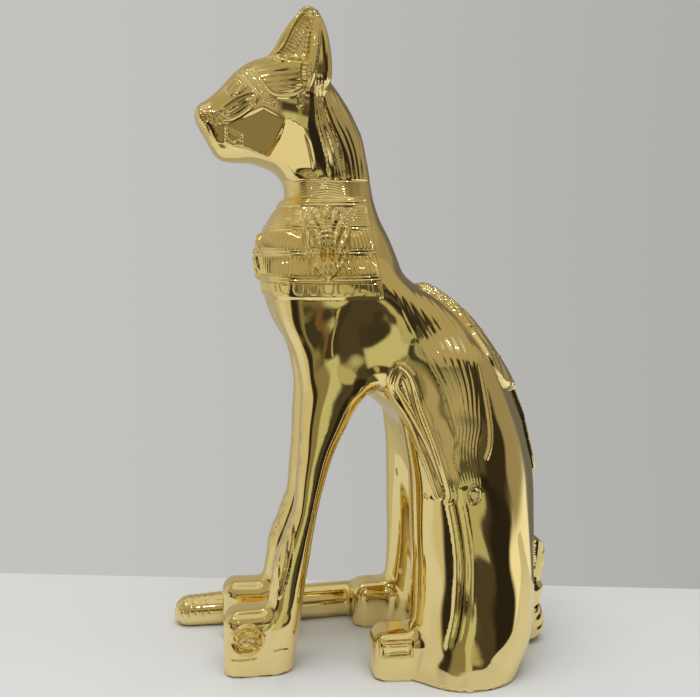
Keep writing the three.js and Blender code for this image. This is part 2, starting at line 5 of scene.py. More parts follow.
import bmesh
import bpy
import numpy as np
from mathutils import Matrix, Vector


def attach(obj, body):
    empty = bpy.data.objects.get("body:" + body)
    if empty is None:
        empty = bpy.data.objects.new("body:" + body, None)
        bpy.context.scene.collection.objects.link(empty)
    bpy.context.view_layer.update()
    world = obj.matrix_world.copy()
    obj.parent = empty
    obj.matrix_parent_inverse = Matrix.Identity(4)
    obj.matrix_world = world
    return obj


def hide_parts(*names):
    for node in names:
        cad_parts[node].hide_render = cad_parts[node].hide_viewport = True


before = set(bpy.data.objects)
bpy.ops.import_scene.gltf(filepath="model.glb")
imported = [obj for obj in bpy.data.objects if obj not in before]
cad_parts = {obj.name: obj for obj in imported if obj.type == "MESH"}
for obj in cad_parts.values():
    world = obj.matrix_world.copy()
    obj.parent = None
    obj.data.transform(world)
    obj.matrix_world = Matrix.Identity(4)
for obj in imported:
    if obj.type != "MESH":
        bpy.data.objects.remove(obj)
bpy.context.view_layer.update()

# The camera looks at the cat's left side from a little above its middle, as in the photograph.
# The frame is 700 by 697; its field of view comes from the perspective of the feet.
camera = bpy.data.objects.new("camera", bpy.data.cameras.new("camera"))
bpy.context.scene.collection.objects.link(camera)
bpy.context.scene.camera = camera
turn = math.radians(8)
dip = 0.1129
looks_along = Vector((-math.cos(turn) * math.cos(dip), math.sin(turn) * math.cos(dip), -math.sin(dip)))
camera.location = (0.4263, -0.0652, 0.1817)
camera.rotation_euler = looks_along.to_track_quat("-Z", "Y").to_euler()
camera.data.sensor_width = 36
camera.data.lens = 51.76
camera.data.clip_start = 0.01


def linked(nodes, links, kind, inputs=(), **settings):
    # A shader node with its settings; an input is a value, or the socket that feeds it.
    node = nodes.new(kind)
    for name, value in settings.items():
        setattr(node, name, value)
    for name, value in dict(inputs).items():
        if isinstance(value, bpy.types.NodeSocket):
            links.new(value, node.inputs[name])
        else:
            node.inputs[name].default_value = value
    return node


# The studio: a plain pale wall behind the table, and round it soft bright and dark screens that the
# polished metal mirrors. A screen is its azimuth, half width, lowest and highest elevation, softness
# (degrees) and colour.
screens = [
    (-8, 180, 54, 90, 8, (0.64, 0.63, 0.58)),
    (-8, 180, 22, 54, 6, (0.43, 0.38, 0.25)),
    (-8, 75, -90, 22, 4, (0.10, 0.085, 0.055)),
    (-87, 23, -60, 10, 4, (0.64, 0.59, 0.45)),
    (-52, 12, -33, 5, 4, (0.028, 0.022, 0.016)),
    (-31, 16, -33, 12, 4, (0.25, 0.22, 0.125)),
    (-24, 32, -90, -37, 4, (0.80, 0.77, 0.68)),
    (-56, 10, -57, -33, 3, (0.20, 0.17, 0.10)),
    (-4, 12, -36, 20, 4, (0.55, 0.57, 0.38)),
    (23, 10, -34, 8, 4, (0.07, 0.058, 0.042)),
    (47, 15, -36, 9, 4, (0.022, 0.018, 0.015)),
    (-13, 28, -35, -19.5, 2, (0.05, 0.042, 0.03)),
    (-21, 3, -35, -19.5, 1.5, (0.16, 0.10, 0.06)),
    (-1, 2, -33, -20.5, 1.5, (0.50, 0.43, 0.24)),
    (15, 12, -12, 4, 2, (0.46, 0.45, 0.28)),
    (-5, 12, 5, 17, 3, (0.06, 0.05, 0.035)),
    (-35, 14, 4, 18, 3, (0.43, 0.37, 0.26)),
    (64, 18, 0, 25, 3, (0.035, 0.028, 0.02)),
    (48, 12, 20, 38, 4, (0.04, 0.032, 0.022)),
    (96, 34, -45, -6, 4, (0.93, 0.91, 0.82)),
    (104, 30, -5, 26, 4, (0.34, 0.29, 0.20)),
    (150, 16, -45, 45, 8, (0.16, 0.145, 0.12)),
    (-120, 16, -20, 40, 8, (0.60, 0.57, 0.48)),
]
world = bpy.data.worlds.new("studio")
bpy.context.scene.world = world
world.use_nodes = True
sky = world.node_tree.nodes
ways = world.node_tree.links
sky.clear()
direction = linked(sky, ways, "ShaderNodeTexCoord").outputs["Generated"]
level = linked(sky, ways, "ShaderNodeVectorMath", {0: direction, 1: (1, 1, 0)}, operation="MULTIPLY")
level = linked(sky, ways, "ShaderNodeVectorMath", {0: level.outputs[0]}, operation="NORMALIZE")
height_part = linked(sky, ways, "ShaderNodeSeparateXYZ", {0: direction}).outputs["Z"]
elevation = linked(sky, ways, "ShaderNodeMath", {0: height_part}, operation="ARCSINE").outputs[0]
elevation = linked(sky, ways, "ShaderNodeMath", {0: elevation, 1: 180 / math.pi}, operation="MULTIPLY").outputs[0]


def soft_step(value, low, high):
    limits = {"Value": value, "From Min": low, "From Max": high}
    return linked(sky, ways, "ShaderNodeMapRange", limits, interpolation_type="SMOOTHSTEP").outputs[0]


def times(a, b):
    return linked(sky, ways, "ShaderNodeMath", {0: a, 1: b}, operation="MULTIPLY").outputs[0]


around = linked(sky, ways, "ShaderNodeRGB").outputs[0]
around.default_value = (0.44, 0.42, 0.36, 1)
overhead_elevation, all_round = 90, 180
for azimuth, half, lowest, highest, soft, colour in screens:
    to = math.radians(azimuth)
    facing = linked(
        sky, ways, "ShaderNodeVectorMath", {0: level.outputs[0], 1: (math.cos(to), math.sin(to), 0)},
        operation="DOT_PRODUCT",
    ).outputs["Value"]
    edges = [math.cos(math.radians(min(max(half + s, 0), all_round))) for s in (soft, -soft)]
    across = soft_step(facing, *edges) if half < all_round else 1.0
    rises = soft_step(elevation, lowest - soft, lowest + soft)
    falls = soft_step(elevation, highest + soft, highest - soft) if highest < overhead_elevation else 1.0
    share = times(times(rises, falls), across)
    mixed = linked(
        sky, ways, "ShaderNodeMix", {"Factor": share, "A": around, "B": (*colour, 1)}, data_type="RGBA"
    )
    around = mixed.outputs["Result"]
# The wall itself shows a plain grey, with painted shade making it a little darker towards the right.
aside = linked(sky, ways, "ShaderNodeSeparateXYZ", {0: direction}).outputs["Y"]
wall = {"Factor": soft_step(aside, -0.2, 0.6), "A": (0.545, 0.54, 0.525, 1), "B": (0.42, 0.415, 0.4, 1)}
wall = linked(sky, ways, "ShaderNodeMix", wall, data_type="RGBA").outputs["Result"]
seen = linked(sky, ways, "ShaderNodeLightPath").outputs["Is Camera Ray"]
shown = linked(sky, ways, "ShaderNodeMix", {"Factor": seen, "A": around, "B": wall}, data_type="RGBA")
backdrop = linked(sky, ways, "ShaderNodeBackground", {"Color": shown.outputs["Result"]})
linked(sky, ways, "ShaderNodeOutputWorld", {"Surface": backdrop.outputs[0]})
bpy.context.scene.view_settings.view_transform = "Standard"

# The table: smooth white laminate, its back edge a hand's width behind the figure. The part of it in
# front of the figure is a sheet of its own, which the metal doesn't mirror.
laminate = bpy.data.materials.new("white_laminate")
laminate.use_nodes = True
laminate_nodes = laminate.node_tree.nodes
laminate_links = laminate.node_tree.links
laminate_shader = laminate_nodes["Principled BSDF"]
laminate_shader.inputs["Roughness"].default_value = 0.22
laminate_shader.inputs["Specular IOR Level"].default_value = 0.35
mottle = linked(laminate_nodes, laminate_links, "ShaderNodeTexNoise", {"Scale": 9.0, "Detail": 3.0})
mottle = linked(
    laminate_nodes, laminate_links, "ShaderNodeMix",
    {"Factor": mottle.outputs["Fac"], "A": (0.63, 0.65, 0.69, 1), "B": (0.66, 0.68, 0.72, 1)},
    data_type="RGBA",
)
laminate_links.new(mottle.outputs["Result"], laminate_shader.inputs["Base Color"])
table_left, table_right = -0.6, 0.45
table_back = [(-0.2092, table_left), (0.0104, table_right)]  # the two ends of its back edge
table_split = 0.085
table_front = 0.7
table_thickness = 0.02
boards = {
    "table": (*table_back, (table_split, table_right), (table_split, table_left)),
    "table_front": ((table_split, table_left), (table_split, table_right),
                    (table_front, table_right), (table_front, table_left)),
}
for name, ends in boards.items():
    sheet = bpy.data.meshes.new(name)
    corners = [(x, y, 0) for x, y in ends] + [(x, y, -table_thickness) for x, y in ends]
    sheet.from_pydata(corners, [], [(0, 1, 2, 3), (0, 4, 5, 1), (1, 5, 6, 2), (2, 6, 7, 3), (3, 7, 4, 0)])
    sheet.materials.append(laminate)
    board = bpy.data.objects.new(name, sheet)
    bpy.context.scene.collection.objects.link(board)
    board.visible_glossy = name == "table"

# One broad soft light over the table, which the metal doesn't mirror, and small ceiling lamps here and
# there that leave sparks in the polished metal.
lamp_height = 1.5
overhead = bpy.data.lights.new("overhead", "AREA")
overhead.shape = "SQUARE"
overhead.size = 1.3
overhead.energy = 20.0
overhead_stand = bpy.data.objects.new("overhead", overhead)
overhead_stand.location = (0.5, -0.1, lamp_height)
overhead_stand.visible_glossy = False
bpy.context.scene.collection.objects.link(overhead_stand)
lamp_places = [(0.9, -0.5), (0.9, 0.35), (0.35, -0.9), (0.35, 0.75), (1.7, -0.1), (-0.6, -0.4), (-0.5, 0.6)]
for number, (x, y) in enumerate(lamp_places):
    lamp = bpy.data.lights.new(f"ceiling_lamp_{number}", "AREA")
    lamp.shape = "DISK"
    lamp.size = 0.055
    lamp.energy = 0.55
    stand = bpy.data.objects.new(lamp.name, lamp)
    stand.location = (x, y, lamp_height)
    bpy.context.scene.collection.objects.link(stand)

# The casting: trunk, neck, head, ears, legs, feet and tail run into one another with soft fillets,
# as poured in one mould. Each form is given by its level and its half widths, in millimetres, with
# the cat looking along -Y and its left side towards +X.


def curve(*rows):
    # A smooth curve through stations (at, value, value, ...), held level past both ends
    table = np.array(sorted(rows), float)
    at, values = table[:, 0], table[:, 1:]
    ahead = np.minimum(np.arange(len(at)) + 1, len(at) - 1)
    behind = np.maximum(np.arange(len(at)) - 1, 0)
    slopes = (values[ahead] - values[behind]) / (at[ahead] - at[behind])[:, None]

    def value(where):
        where = np.clip(where, at[0], at[-1])
        i = np.clip(np.searchsorted(at, where) - 1, 0, len(at) - 2)
        width = (at[i + 1] - at[i])[:, None]
        u = (where - at[i])[:, None] / width
        rise = u * u * (3 - 2 * u)
        leave, arrive = u * (1 - u) * (1 - u), u * u * (u - 1)
        between = values[i] + (values[i + 1] - values[i]) * rise
        return (between + width * (slopes[i] * leave + slopes[i + 1] * arrive)).T

    return value


def blend(a, b, reach):
    h = np.clip(0.5 + 0.5 * (b - a) / reach, 0, 1)
    return b + (a - b) * h - reach * h * (1 - h)


def keep(a, b, reach):
    return -blend(-a, -b, reach)


def step(low, high, t):
    u = np.clip((t - low) / (high - low), 0, 1)
    return u * u * (3 - 2 * u)


def oval(u, v, a, b, squareness):
    # How far (u, v) lies outside an oval with half axes a and b
    p = np.abs(u / a) + 1e-6
    q = np.abs(v / b) + 1e-6
    r = (p**squareness + q**squareness) ** (1 / squareness)
    return (r - 1) / np.hypot((p / r) ** (squareness - 1) / a, (q / r) ** (squareness - 1) / b)


trunk_at = curve(
    (236, -24, -6.4, 10), (222, -27, 2.8, 13.2), (212, -28.3, 6.4, 14.8), (203, -28.1, 8.4, 16.6),
    (196, -28.4, 9.6, 19.2), (188, -33.8, 12.2, 23.5), (180, -37.4, 16.2, 27), (172, -38.6, 19.5, 29.5),
    (165, -38, 22.6, 30.8), (160.5, -37.3, 27.8, 31.2), (156, -36.6, 36, 31.2), (146, -33, 48.4, 30.6),
    (137, -27.3, 56, 29.8), (129, -19.5, 61.6, 29.6), (122, -8, 66, 29.8), (116, 3, 69, 30.6),
    (110, 11, 71.4, 31.6), (103, 18, 74.2, 32.6), (94, 24, 76.4, 33.6), (80, 29, 79.5, 34.4), (60, 33, 80.3, 35),
    (40, 35, 80.6, 35), (27, 35.6, 80.2, 34), (16, 36, 77.6, 32.4), (8, 36, 76.2, 31), (0, 36, 75.4, 30),
)
trunk_top = 236
body_squareness = 2.15


def trunk(x, y, z):
    front, back, half = trunk_at(z)
    side = oval(y - (front + back) / 2, x, (back - front) / 2, half, body_squareness)
    return keep(side, z - trunk_top, 8)


head_at = curve(
    (-65, 232, 229, 5.5), (-62.8, 234.4, 225, 7.4), (-60, 236.1, 220.3, 8.7), (-57.2, 238.2, 214.8, 9.9),
    (-54, 241.2, 212, 11.2), (-48, 247.5, 211.1, 14), (-42, 251.7, 210.8, 17.8), (-35, 254, 208.6, 20.6),
    (-27, 255, 205.4, 22.2), (-18, 252.5, 204, 21.8), (-10, 246, 204, 19), (-3, 236.5, 205, 13.5),
    (3, 227, 206, 8.5),
)
nose_end, nape = -64.2, 3


def head(side, y, z):
    top, bottom, half = head_at(y)
    skull = oval(z - (top + bottom) / 2, side, (top - bottom) / 2, half, body_squareness)
    return keep(keep(skull, nose_end - y, 2.5), y - nape, 6)


ear_root = np.array((15.5, -23.9, 240))
ear_tip = np.array((16.3, -17.8, 270.8))
ear_wall = 2.2
ear_height = np.linalg.norm(ear_tip - ear_root)
ear_up = (ear_tip - ear_root) / ear_height
ear_turn = math.radians(60)
ear_open = np.array((math.sin(ear_turn), -math.cos(ear_turn), 0))
ear_open = ear_open - ear_up * (ear_open @ ear_up)
ear_open /= np.linalg.norm(ear_open)
ear_across = np.cross(ear_up, ear_open)
ear_at = curve(
    (0, 14, 7.2), (0.2, 14, 7.6), (0.4, 12.8, 7), (0.6, 10.6, 5.8), (0.78, 7.9, 4.6), (0.9, 5.3, 3.3), (1, 2.4, 1.9),
)
ear_lip = 2.6  # the rear rim is this much thicker than the front one, and less where the ear is narrow
ear_narrow = 13


def ear(side, y, z):
    place = np.stack((side, y, z), axis=1) - ear_root
    up, out, across = place @ ear_up, place @ ear_open, place @ ear_across
    half, deep = ear_at(up / ear_height)
    shell = keep(keep(oval(across, out, half, deep, 2), up - ear_height, 1), -up, 6)
    lip = ear_lip * np.clip(half / ear_narrow, 0, 1)
    scoop = oval(across + lip, out - deep * 1.15, np.maximum(half - ear_wall - lip, 0.3), deep * 0.85, 2)
    hollow = keep(keep(scoop, up - ear_height * 0.9, 3), ear_height * 0.3 - up, 4)
    return keep(shell, -hollow, 1.4)


foreleg_at = curve(
    (172, 13, -32.5, 12), (158, 13.6, -33, 20), (146, 13.1, -31, 22), (135, 12.4, -26.6, 20),
    (126, 11.8, -24.2, 14), (118, 11.4, -23.1, 6.6), (112, 11, -23.2, 1.2), (103, 10.4, -23.6, -4),
    (92, 9.7, -24.3, -9), (80, 9.1, -25.2, -13), (67, 8.8, -26.6, -16.2), (55, 8.7, -30.6, -18.4),
    (47, 8.8, -34, -19.6), (36, 8.9, -36.2, -21.5), (25, 9.2, -38, -23), (12, 9.3, -40, -25.5),
    (0, 9, -42, -31),
)
foreleg_x, foreleg_top = 17, 166
foreleg_squareness = 2.3


def foreleg(side, y, z):
    half, front, back = foreleg_at(z)
    limb = oval(side - foreleg_x, y - (front + back) / 2, half, (back - front) / 2, foreleg_squareness)
    return keep(limb, z - foreleg_top, 6)


haunch_at = curve(
    (140, 18, 13, 18, 31, 50), (128, 20, 14, 14.2, 34, 56), (118, 21.5, 15.5, 16, 36, 60),
    (108, 23, 17.4, 17.6, 37, 63), (97, 24.5, 19, 19.2, 38, 66), (85, 26, 20.4, 20.5, 38, 68),
    (72, 27, 21.2, 20.9, 40, 69.5), (58, 28, 21.8, 21.2, 42, 71), (42, 28.6, 22, 21.6, 43.5, 72.5),
    (27, 29, 22.2, 21.2, 43.5, 73), (14, 29.2, 22.9, 19.4, 42, 71.5), (5, 29.4, 23.6, 17.8, 41, 67.5),
    (0, 29.4, 24, 17.4, 40, 65.5),
)
haunch_top = 138
squareness_ahead, squareness_behind = 1.6, 2.3  # of the thigh, ahead of its widest line and behind it


def haunch(side, y, z):
    middle, half, front, crest, back = haunch_at(z)
    ahead = y < crest
    deep = np.where(ahead, crest - front, back - crest)
    thigh = oval(side - middle, y - crest, half, deep, np.where(ahead, squareness_ahead, squareness_behind))
    return keep(thigh, z - haunch_top, 10)


def block(side, y, z, centre, half, radius):
    # A block with rounded edges
    q = [np.abs(v - c) - h + radius for v, c, h in zip((side, y, z), centre, half)]
    out = np.sqrt(sum(np.maximum(v, 0) ** 2 for v in q))
    return out + np.minimum(np.maximum(np.maximum(q[0], q[1]), q[2]), 0) - radius


paw_splay = 0.09  # the paws turn out a little
paw_middle = (foreleg_x, -41.1, 5.6)


def paw(side, y, z):
    return block(side + paw_splay * (y - paw_middle[1]), y, z, paw_middle, (9.4, 14.7, 21.6), 6.5)


def hind_foot(side, y, z):
    return block(side, y, z, (29, 22.45, 2), (10, 17.75, 18), 6)


tail_at = curve(  # its way, level and thickness
    (0, 0, 71, 8, 10), (1, -18, 70.5, 7.4, 9), (2, -32, 64, 6.8, 8.4), (3, -41, 51, 6.4, 8.2),
    (4, -43.5, 33, 6.2, 8.2), (5, -42, 10, 6.3, 8.4), (6, -40, -10, 6.3, 8.5), (7, -38.6, -32, 6.2, 8.3),
    (8, -37.8, -52, 6, 8), (9, -37, -70.6, 5.8, 7.4),
)
tail_pieces = 30
tail_knots = np.array(tail_at(np.linspace(0, 9, tail_pieces + 1))).T


def tail(x, y, z):
    nearest = np.full(len(x), np.inf)
    for a, b in zip(tail_knots, tail_knots[1:]):
        ex, ey = b[:2] - a[:2]
        t = np.clip(((x - a[0]) * ex + (y - a[1]) * ey) / (ex * ex + ey * ey), 0, 1)
        level, thick = a[2] + (b[2] - a[2]) * t, a[3] + (b[3] - a[3]) * t
        off = np.sqrt((x - a[0] - ex * t) ** 2 + (y - a[1] - ey * t) ** 2 + (z - level) ** 2)
        nearest = np.minimum(nearest, off - thick)
    return nearest


# The levels between which a form is felt, the reach of its fillet, and the form
under, over = -10, 300
forms = [
    (185, over, 7, head), (under, 148, 8, haunch), (under, 172, 7, foreleg), (under, 34.5, 4, hind_foot),
    (under, 34.5, 4, paw), (228, over, 5, ear), (under, 24, 3, tail),
]
sole_fillet = 0.6


def figure(x, y, z):
    # The casting without its carving: negative inside, positive outside
    side = np.abs(x)
    d = trunk(x, y, z)
    for low, high, reach, form in forms:
        near = (z >= low) & (z <= high)
        if near.any():
            d[near] = blend(d[near], form(x[near] if form is tail else side[near], y[near], z[near]), reach)
    return keep(d, -z, sole_fillet)


def slope(function, points, value, reach=0.02):
    # How fast a function of (x, y, z) changes along each axis at the points
    moved = [function(*(points + reach * axis).T) for axis in np.eye(3)]
    return (np.stack(moved, axis=1) - value[:, None]) / reach


longest_move = 1.5


def onto_figure(points, passes):
    # Moves points onto the surface, a short way in each pass
    for _ in range(passes):
        value = figure(*points.T)
        fall = slope(figure, points, value)
        shift = value / np.maximum((fall * fall).sum(1), 1e-6)
        points = points - np.clip(shift, -longest_move, longest_move)[:, None] * fall
    return points


def cast_skin(low, high, cell):
    # Closed skin of the figure between two levels: one point in each cell that the surface crosses
    axes = [np.arange(a, b + cell, cell) for a, b in zip(low, high)]
    grid = np.stack(np.meshgrid(*axes, indexing="ij"), axis=-1)
    shape = np.array(grid.shape[:3])
    flat = grid.reshape(-1, 3)
    field = np.maximum(figure(*flat.T), np.maximum(flat[:, 2] - high[2] + cell, low[2] + cell - flat[:, 2]))
    field = field.reshape(shape)
    cells = shape - 1
    total, crossings = np.zeros((*cells, 3)), np.zeros(cells)
    corners = [(i, j, k) for i in (0, 1) for j in (0, 1) for k in (0, 1)]

    def at_corner(corner):
        return field[tuple(slice(c, c + n) for c, n in zip(corner, cells))]

    for corner in corners:
        for axis in range(3):
            if corner[axis]:
                continue
            a, b = at_corner(corner), at_corner([c + (n == axis) for n, c in enumerate(corner)])
            crossed = (a < 0) != (b < 0)
            place = np.broadcast_to(np.array(corner, float), (*cells, 3)).copy()
            place[..., axis] += a / np.where(crossed, a - b, 1)
            total += np.where(crossed[..., None], place, 0)
            crossings += crossed
    held = crossings > 0
    number = np.full(cells, -1)
    number[held] = np.arange(held.sum())
    points = (np.argwhere(held) + total[held] / crossings[held][:, None]) * cell + np.array([a[0] for a in axes])
    quads = []
    for axis in range(3):
        u, v = (axis + 1) % 3, (axis + 2) % 3
        near = [slice(1, n) for n in cells]
        near[axis] = slice(0, cells[axis])
        far = list(near)
        far[axis] = slice(1, cells[axis] + 1)
        a, b = field[tuple(near)], field[tuple(far)]
        crossed = (a < 0) != (b < 0)
        base = np.argwhere(crossed) + [int(n != axis) for n in range(3)]
        quad = []
        for du, dv in ((0, 0), (1, 0), (1, 1), (0, 1)):
            cell_of = base.copy()
            cell_of[:, u] -= du
            cell_of[:, v] -= dv
            quad.append(number[tuple(cell_of.T)])
        quad = np.stack(quad, axis=1)
        outward = (a < 0)[crossed]
        quad[~outward] = quad[~outward][:, ::-1]
        quads.append(quad)
    quads = np.concatenate(quads)
    cross = [np.linalg.norm(points[quads[:, i]] - points[quads[:, i + 2]], axis=1) for i in (0, 1)]
    shorter = cross[0] <= cross[1]
    a, b, c, d = quads.T
    one = np.where(shorter[:, None], np.stack((a, b, c), 1), np.stack((a, b, d), 1))
    two = np.where(shorter[:, None], np.stack((a, c, d), 1), np.stack((b, c, d), 1))
    return points, np.concatenate((one, two))


def edges_of(faces, count):
    ends = np.sort(np.concatenate((faces[:, (0, 1)], faces[:, (1, 2)], faces[:, (2, 0)])), axis=1)
    keys, which = np.unique(ends[:, 0] * count + ends[:, 1], return_inverse=True)
    return keys // count, keys % count, which.reshape(3, -1).T


def relaxed(points, faces, passes):
    # Evens out the spacing of the points, then draws them back onto the figure
    a, b, _ = edges_of(faces, len(points))
    around = np.bincount(a, minlength=len(points)) + np.bincount(b, minlength=len(points))
    for _ in range(passes):
        pulled = np.stack([
            np.bincount(a, points[b, axis], len(points)) + np.bincount(b, points[a, axis], len(points))
            for axis in range(3)
        ], axis=1)
        points = 0.5 * points + 0.5 * pulled / around[:, None]
        points = onto_figure(points, 1)
    return points


def refined(points, faces, too_long):
    # Halves every edge that is longer than the carving under it allows
    for _ in range(4):
        a, b, which = edges_of(faces, len(points))
        middle = (points[a] + points[b]) / 2
        split = too_long(points, a, b, middle)
        if not split.any():
            break
        added = np.full(len(a), -1)
        added[split] = len(points) + np.arange(split.sum())
        points = np.concatenate((points, onto_figure(middle[split], 1)))
        m = added[which]
        count = (m >= 0).sum(1)
        kept = [faces[count == 0]]
        f, e = faces[count == 3], m[count == 3]
        kept += [np.stack(t, 1) for t in ((f[:, 0], e[:, 0], e[:, 2]), (f[:, 1], e[:, 1], e[:, 0]),
                                         (f[:, 2], e[:, 2], e[:, 1]), (e[:, 0], e[:, 1], e[:, 2]))]
        for i in range(3):
            j, k = (i + 1) % 3, (i + 2) % 3
            one = (count == 1) & (m[:, i] >= 0)
            f, e = faces[one], m[one]
            kept += [np.stack((f[:, i], e[:, i], f[:, k]), 1), np.stack((e[:, i], f[:, j], f[:, k]), 1)]
            two = (count == 2) & (m[:, k] < 0)
            f, e = faces[two], m[two]
            kept += [np.stack((f[:, j], e[:, j], e[:, i]), 1), np.stack((f[:, i], e[:, i], e[:, j]), 1),
                     np.stack((f[:, i], e[:, j], f[:, k]), 1)]
        faces = np.concatenate(kept)
    return points, faces


# The carving is chased into the surface: a function says how far it rises or sinks, mostly by less than
# a millimetre. It is felt inside its box (side, y, z), where edges have the given length at most.
carvings = []


def carved(low, high, edge):
    def kept(height):
        carvings.append((np.array(low, float), np.array(high, float), edge, height))
        return height
    return kept


def ridge(offset, half):
    return 1 - step(0, half, np.abs(offset))


def comb(t, pitch):
    return 0.5 + 0.5 * np.cos(2 * math.pi * t / pitch)


def bowed(knots, closed=False, pieces=6):
    # A path that bows smoothly through its knots
    knots = np.array(knots, float)
    count = len(knots)
    path = []
    for i in range(count if closed else count - 1):
        if closed:
            p, a, b, q = (knots[(i + n) % count] for n in (-1, 0, 1, 2))
        else:
            p, a, b, q = (knots[min(max(i + n, 0), count - 1)] for n in (-1, 0, 1, 2))
        for t in np.arange(pieces) / pieces:
            path.append(0.5 * (2 * a + (b - p) * t + (2 * p - 5 * a + 4 * b - q) * t * t
                               + (3 * a - p - 3 * b + q) * t**3))
    path.append(knots[0] if closed else knots[-1])
    return np.array(path)


def stroke(u, v, path):
    # How far (u, v) lies from a path, and how far along the path
    nearest, along, start = np.full(len(u), np.inf), np.zeros(len(u)), 0.0
    for (au, av), (bu, bv) in zip(path, path[1:]):
        eu, ev = bu - au, bv - av
        length = math.hypot(eu, ev)
        if not length:
            continue
        t = np.clip(((u - au) * eu + (v - av) * ev) / length**2, 0, 1)
        off = np.hypot(u - au - eu * t, v - av - ev * t)
        closer = off < nearest
        nearest[closer], along[closer] = off[closer], start + (t * length)[closer]
        start += length
    return nearest, along


def depth_inside(u, v, path):
    # How deep (u, v) lies inside a closed path; negative outside it
    inside = np.zeros(len(u), bool)
    for (au, av), (bu, bv) in zip(path, path[1:]):
        if av != bv:
            inside ^= ((av > v) != (bv > v)) & (u < (bu - au) * (v - av) / (bv - av) + au)
    off, _ = stroke(u, v, path)
    return np.where(inside, off, -off)


# The ears: a thick rolled rim with a smooth lobe below, a column of ribs inside the hollow and a deep
# pitted channel behind it. They are cast hollow, with a thin wall.
ear_rim = bowed([
    (-37, 251.3), (-41.2, 247.3), (-37.2, 240), (-33.4, 236), (-28, 235.4), (-24, 236.4), (-19.8, 239.6), (-18, 244),
    (-16.6, 251), (-15.8, 258), (-15.4, 264), (-17, 269.5), (-20, 269.5), (-23, 267), (-26, 262.5), (-28.6, 257),
    (-32, 252.7),
], closed=True, pieces=3)
ear_ribs = bowed([(-20, 268.5), (-22, 264.9), (-24.2, 260.4), (-26.9, 255.2), (-29.8, 252)])
ear_channel = bowed([(-18.2, 266), (-19.4, 258.9), (-20.4, 252), (-21.6, 245.5), (-21.3, 241.5)])


@carved((13, -44, 232), (32, -12, 272), 0.55)
def ear_carving(side, y, z):
    off, _ = stroke(y, z, ear_rim)
    inner = depth_inside(y, z, ear_rim)
    rim = 0.6 * ridge(off, 1.1)
    lobe = step(235, 237, z) * (1 - step(247.5, 250, z + 0.35 * (y + 30)))
    folds = lobe * step(0.8, 1.6, inner) * (0.3 - 0.12 * comb(z - 0.08 * y, 2.1))
    off, along = stroke(y, z, ear_ribs)
    ribs = 0.55 * comb(along, 1.5) * (1 - step(2.2, 3.2, off))
    off, along = stroke(y, z, ear_channel)
    channel = -(0.7 + 0.45 * comb(along, 1.9)) * (1 - step(0.7, 1.5, off))
    return rim + folds + ribs + channel


# The face: beaded bands over the brow, almond eyes with a raised rim, slots for the whiskers, a
# fluted muzzle and a beaded pad at the corner of the mouth, all chased before gilding.
brow_strokes = [((-46.9, 246.6), (-36.8, 234.2)), ((-45, 247), (-35.7, 233.7)),
                ((-43.1, 247.2), (-34.5, 233.2)), ((-41.2, 247.4), (-33.4, 232.8))]
forehead = np.array([(-52.3, 241.5), (-48.5, 244.6), (-42.5, 240.2), (-46.7, 236.3), (-51, 236.5), (-52.3, 241.5)])
nose_line = bowed([(-60.5, 230.4), (-54.7, 230.7), (-52, 233), (-47.8, 235.6), (-41.6, 237.6)])
eye_rim = bowed([(-53.9, 228), (-50.6, 231.7), (-46.6, 234.3), (-42.6, 235.6), (-39.7, 235.1), (-42.4, 231.8),
                 (-46.4, 229), (-50.6, 227.4)], closed=True, pieces=4)
eye_slot = bowed([(-50.4, 229.7), (-46.4, 231.9), (-42.5, 234.5)])
whisker_slots = [(-59.7, 228.6), (-57.9, 227.9), (-56.1, 227.2), (-54.4, 227.6)]
mouth_pad = np.array([(-52.6, 225.5), (-44.7, 221.6), (-44.1, 216.6), (-52.7, 218.3), (-52.6, 225.5)])
mouth_slot = bowed([(-51, 219.4), (-49, 218.3), (-46.5, 219)])
cheek = np.array([(-55.3, 223.9), (-37.4, 231.6), (-28.6, 226.8), (-31.7, 218.7), (-35.1, 213.3), (-42.5, 216),
                  (-55.9, 218.8), (-55.3, 223.9)])
flutes_foot, flutes_top = (-56.6, 217.3), (-60.8, 231)  # the rear edge of the muzzle's flutes


@carved((3, -53.5, 231), (24, -32, 249), 0.55)
def brow_carving(side, y, z):
    height = np.zeros(len(y))
    for n, path in enumerate(brow_strokes):
        off, along = stroke(y, z, path)
        beads = 0.45 + 0.55 * comb(along, 1.25) if n % 2 else 1
        height = np.maximum(height, 0.62 * beads * ridge(off, 0.85))
    inner = depth_inside(y, z, forehead)
    slant = np.abs(y + 47.4) * 1.1 + z
    pattern = step(0, 0.8, inner) * (0.2 + 0.4 * comb(slant, 2.1) * comb(y * 0.8 - z * 0.6, 1.9))
    return np.maximum(height, pattern)


@carved((3, -63, 224), (24, -36, 240), 0.55)
def eye_carving(side, y, z):
    off, _ = stroke(y, z, nose_line)
    brow = 0.5 * ridge(off, 0.9)
    off, _ = stroke(y, z, eye_rim)
    ball = step(0, 2.4, depth_inside(y, z, eye_rim))
    rim = 0.6 * ridge(off, 0.8)
    off, _ = stroke(y, z, eye_slot)
    slot = -0.75 * ridge(off, 1.1)
    height = np.maximum(brow, rim) + 0.5 * ball + slot
    for cy, cz, radius in ((-41, 234.2, 1.4), (-53.4, 228.6, 1.2), (-51.9, 227.2, 1.1)):
        height += 0.4 * ridge(np.hypot(y - cy, z - cz) - radius, 0.5)
    for cy, cz in whisker_slots:
        off, _ = stroke(y, z, [(cy - 0.3, cz + 1.1), (cy + 0.3, cz - 1.1)])
        height -= 0.6 * ridge(off, 0.75)
    return height


